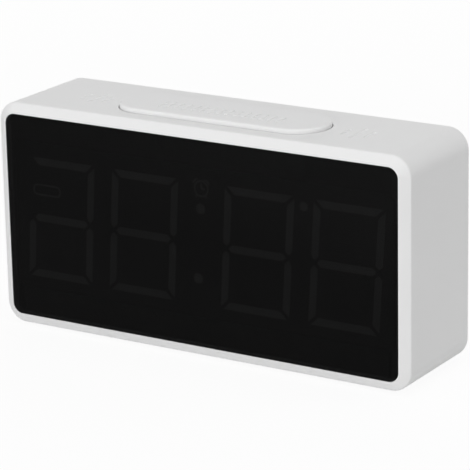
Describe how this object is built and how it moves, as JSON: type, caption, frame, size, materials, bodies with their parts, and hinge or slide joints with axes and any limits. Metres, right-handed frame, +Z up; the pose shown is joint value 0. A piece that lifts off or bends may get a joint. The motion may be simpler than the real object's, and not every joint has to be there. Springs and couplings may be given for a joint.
{
  "type": "alarm clock",
  "caption": "Free-standing digital alarm clock with a white shell, a smoked mirror front over seven-segment digits, a snooze bar on top, and set buttons and a battery door behind.",
  "frame": {"origin": "under the middle of the clock, on the surface that its four feet stand on", "axes": "+X to the right of someone facing the lens, +Y from the lens to the back, +Z up"},
  "size_m": [0.15, 0.0396, 0.0763],
  "materials": {
    "white_shell": "satin white moulding",
    "white_back": "fine matt white moulding",
    "smoked_lens": "polished smoked mirror acrylic",
    "tape": "black adhesive foam",
    "foot_rubber": "dark soft rubber",
    "black_moulding": "matt black",
    "diffuser": "milky translucent",
    "light_chip": "pale resin",
    "green_board": "solder mask",
    "black_component": "moulded epoxy",
    "switch_body": "moulded black",
    "switch_plunger": "ivory moulding",
    "grey_button": "matt grey moulding",
    "dark_knob": "matt black moulding",
    "bright_metal": "plated can",
    "spring_steel": "nickel plate",
    "screw_steel": "zinc plate",
    "cell_jacket": "printed film over a metal can",
    "cream_socket": "cream moulding",
    "grey_cable": "flat grey cable",
    "red_wire": "red insulation",
    "black_wire": "black insulation"
  },
  "bodies": {
    "case": {"housing": "white_shell", "rear_cover": "white_back", "front_lens": "smoked_lens", "lens_tape": "tape", "foot_pads": "foot_rubber", "display_reflector": "black_moulding", "digit_1_segments": "diffuser", "digit_2_segments": "diffuser", "digit_3_segments": "diffuser", "digit_4_segments": "diffuser", "colon_dots": "diffuser", "degree_dot": "diffuser", "alarm_marker": "diffuser", "afternoon_marker": "diffuser", "segment_leds": "light_chip", "display_board": "green_board", "snooze_board": "green_board", "button_board": "green_board", "control_chip": "black_component", "temperature_sensor": "black_component", "buzzer": "black_component", "inlet_tongue": "black_component", "slide_switch": "black_component", "snooze_switch": "switch_body", "button_switches": "switch_body", "quartz_crystal": "bright_metal", "power_inlet": "bright_metal", "filter_capacitor": "bright_metal", "snooze_springs": "spring_steel", "positive_contact": "spring_steel", "negative_contact": "spring_steel", "left_link_contact": "spring_steel", "right_link_contact": "spring_steel", "display_board_screws": "screw_steel", "snooze_board_screws": "screw_steel", "button_board_screws": "screw_steel", "rear_cover_screws": "screw_steel", "battery_cells": "cell_jacket", "ribbon_sockets": "cream_socket", "ribbon_cable": "grey_cable", "positive_lead": "red_wire", "negative_lead": "black_wire", "snooze_lead": "black_wire"},
    "snooze": {"snooze_bar": "white_shell", "snooze_plunger": "switch_plunger"},
    "time_key": {"time_button": "grey_button", "time_plunger": "switch_plunger"},
    "alarm_key": {"alarm_button": "grey_button", "alarm_plunger": "switch_plunger"},
    "up_key": {"up_button": "grey_button", "up_plunger": "switch_plunger"},
    "down_key": {"down_button": "grey_button", "down_plunger": "switch_plunger"},
    "alarm_slide": {"slide_knob": "dark_knob"},
    "door": {"battery_door": "white_back"}
  },
  "joints": [
    {"name": "snooze_press", "type": "slide", "parent": "case", "child": "snooze", "axis": [0, 0, -1], "range_m": [0, 0.001], "stiffness_N_per_m": 600, "springref_m": -0.001, "deforming": ["snooze_springs"]},
    {"name": "time_press", "type": "slide", "parent": "case", "child": "time_key", "axis": [0, -1, 0], "range_m": [0, 0.0007], "stiffness_N_per_m": 500, "springref_m": -0.0006},
    {"name": "alarm_press", "type": "slide", "parent": "case", "child": "alarm_key", "axis": [0, -1, 0], "range_m": [0, 0.0007], "stiffness_N_per_m": 500, "springref_m": -0.0006},
    {"name": "up_press", "type": "slide", "parent": "case", "child": "up_key", "axis": [0, -1, 0], "range_m": [0, 0.0007], "stiffness_N_per_m": 500, "springref_m": -0.0006},
    {"name": "down_press", "type": "slide", "parent": "case", "child": "down_key", "axis": [0, -1, 0], "range_m": [0, 0.0007], "stiffness_N_per_m": 500, "springref_m": -0.0006},
    {"name": "alarm_switch_slide", "type": "slide", "parent": "case", "child": "alarm_slide", "axis": [1, 0, 0], "range_m": [0, 0.003]},
    {"name": "door_hinge", "type": "hinge", "parent": "case", "child": "door", "pos_m": [0.0367, 0.01855, 0.05295], "axis": [1, 0, 0], "range_deg": [0, 80]}
  ]
}
